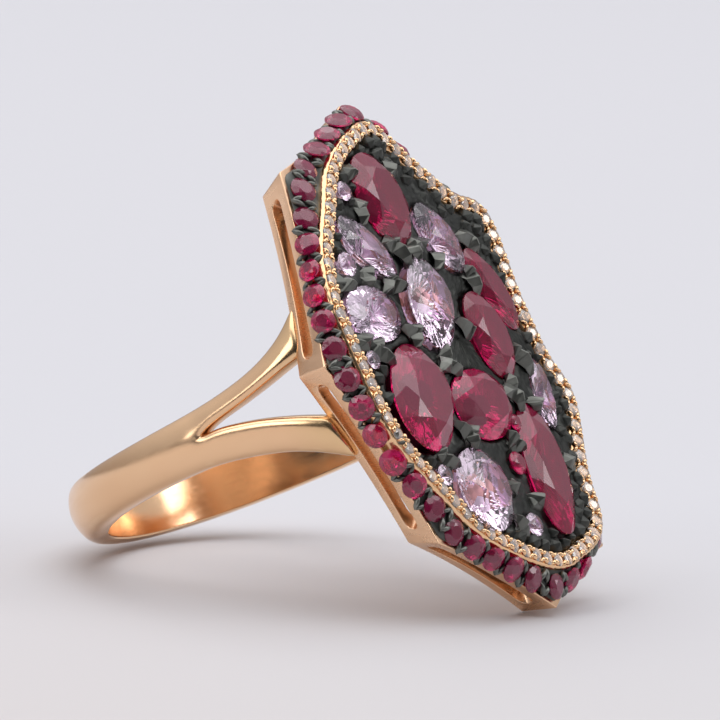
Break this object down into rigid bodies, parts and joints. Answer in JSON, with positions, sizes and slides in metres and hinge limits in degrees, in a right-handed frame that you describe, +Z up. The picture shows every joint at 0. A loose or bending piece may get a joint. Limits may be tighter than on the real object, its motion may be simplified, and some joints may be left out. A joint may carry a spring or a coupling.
{
  "type": "cocktail ring",
  "caption": "Cocktail ring with a split shank and a wide eight-cornered head set with rubies, pink sapphires and a diamond channel.",
  "frame": {"origin": "centre of the bounding box in X and Y, on the surface that the ring rests on", "axes": "+Z up; the ring lies on its side, with the head facing -Y and tipped back, the shank behind it towards +Y, and X across the finger"},
  "size_m": [0.0199, 0.0222, 0.0197],
  "materials": {
    "rose_gold": "polished",
    "blackened_gold": "satin black rhodium",
    "ruby": "polished, faceted",
    "pink_sapphire": "polished, faceted",
    "diamond": "polished, faceted"
  },
  "bodies": {
    "root": {"split_shank": "rose_gold", "gallery_frame": "rose_gold", "pave_border": "blackened_gold", "border_rubies": "ruby", "border_beads": "blackened_gold", "diamond_channel": "rose_gold", "channel_diamonds": "diamond", "channel_beads": "rose_gold", "stone_plate": "blackened_gold", "ruby_upper": "ruby", "ruby_large_left": "ruby", "ruby_centre": "ruby", "ruby_long_lower": "ruby", "ruby_right": "ruby", "ruby_far_right": "ruby", "pear_sapphire": "pink_sapphire", "oval_sapphire_left": "pink_sapphire", "oval_sapphire_centre": "pink_sapphire", "round_sapphire": "pink_sapphire", "oval_sapphire_upper": "pink_sapphire", "sapphire_far_right": "pink_sapphire", "accent_sapphires": "pink_sapphire", "accent_rubies": "ruby", "claws_upper": "blackened_gold", "claws_middle": "blackened_gold", "claws_lower": "blackened_gold"}
  },
  "joints": []
}
